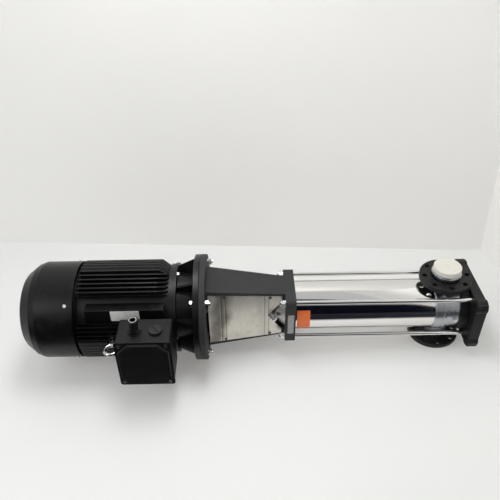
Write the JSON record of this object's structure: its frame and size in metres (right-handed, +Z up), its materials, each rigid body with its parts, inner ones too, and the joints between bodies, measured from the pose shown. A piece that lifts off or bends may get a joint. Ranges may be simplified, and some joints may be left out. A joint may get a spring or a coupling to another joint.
{
  "type": "vertical multistage pump",
  "caption": "Tall in-line centrifugal pump: flanged stainless foot casing, polished sleeve held by tie rods, guarded coupling stool and finned flange-mounted motor",
  "frame": {"origin": "centre of the base plate's underside, on the shaft axis", "axes": "+Z runs up the shaft towards the motor's fan, +X out of the discharge port (suction port at -X), -Y towards the terminal box side"},
  "size_m": [0.464, 0.6295, 1.94],
  "materials": {
    "black_paint": "semi-gloss black machine paint",
    "black_flange_paint": "black paint over cast iron",
    "stool_casting": "dark charcoal paint over a cast surface",
    "casing_stainless": "satin cast stainless steel",
    "sleeve_stainless": "polished stainless steel",
    "guard_stainless": "satin stainless sheet",
    "bright_zinc": "bright zinc-plated fasteners",
    "dark_screw": "dark screw heads",
    "white_plastic": "white polyethylene protective cap",
    "black_plastic": "black moulded plastic",
    "nameplate_metal": "bare plate",
    "shaft_steel": "ground steel",
    "core_steel": "laminated core",
    "winding_copper": "varnished copper windings",
    "seal_ceramic": "dark seal faces and bushes"
  },
  "bodies": {
    "housing": {"base_casing": "casing_stainless", "base_plate": "black_flange_paint", "bearing_bushes": "seal_ceramic", "blanking_plug": "black_plastic", "cable_gland": "black_plastic", "chamber_1": "shaft_steel", "chamber_2": "shaft_steel", "chamber_3": "shaft_steel", "chamber_4": "shaft_steel", "chamber_5": "shaft_steel", "chamber_6": "shaft_steel", "chamber_7": "shaft_steel", "coupling_guard_front": "guard_stainless", "coupling_guard_rear": "guard_stainless", "drain_plug": "bright_zinc", "drive_end_shield": "black_paint", "eye_bolts": "bright_zinc", "fan_cover": "black_paint", "fan_cover_screws": "bright_zinc", "flange_bolts": "bright_zinc", "guard_screws": "dark_screw", "lid_screws": "bright_zinc", "motor_bearings": "shaft_steel", "motor_frame": "black_paint", "motor_stool": "stool_casting", "nameplate": "nameplate_metal", "outer_sleeve": "sleeve_stainless", "priming_plug": "bright_zinc", "pump_head": "casing_stainless", "rear_shield": "black_paint", "retaining_rings": "bright_zinc", "seal_seat": "seal_ceramic", "shield_bolts": "bright_zinc", "sleeve_collar": "casing_stainless", "stator_core": "core_steel", "stator_windings": "winding_copper", "terminal_block": "black_plastic", "terminal_box": "black_paint", "terminal_box_lid": "black_paint", "tie_rod_nuts": "bright_zinc", "tie_rods": "sleeve_stainless"},
    "rotor": {"pump_shaft": "shaft_steel", "impeller_1": "shaft_steel", "impeller_2": "shaft_steel", "impeller_3": "shaft_steel", "impeller_4": "shaft_steel", "impeller_5": "shaft_steel", "impeller_6": "shaft_steel", "impeller_7": "shaft_steel", "seal_ring": "seal_ceramic", "coupling_half_front": "shaft_steel", "coupling_half_rear": "shaft_steel", "coupling_bolts": "bright_zinc", "motor_shaft": "shaft_steel", "rotor_core": "core_steel", "cooling_fan": "black_plastic"},
    "discharge_flange": {"discharge_flange": "black_flange_paint"},
    "suction_flange": {"suction_flange": "black_flange_paint"},
    "cap": {"port_cap": "white_plastic"},
    "vent": {"vent_screw": "bright_zinc"}
  },
  "joints": [
    {"name": "rotor_spin", "type": "hinge", "parent": "housing", "child": "rotor", "pos_m": [0, 0, 1], "axis": [0, 0, 1], "continuous": true},
    {"name": "discharge_flange_swivel", "type": "hinge", "parent": "housing", "child": "discharge_flange", "pos_m": [0.1445, 0, 0.14], "axis": [1, 0, 0], "continuous": true},
    {"name": "suction_flange_swivel", "type": "hinge", "parent": "housing", "child": "suction_flange", "pos_m": [-0.1705, 0, 0.14], "axis": [1, 0, 0], "continuous": true},
    {"name": "cap_pull", "type": "slide", "parent": "housing", "child": "cap", "axis": [1, 0, 0], "range_m": [0, 0.06]},
    {"name": "vent_screw_turn", "type": "hinge", "parent": "housing", "child": "vent", "pos_m": [0, -0.095, 0.882], "axis": [0, -1, 0], "range_deg": [0, 360]}
  ]
}
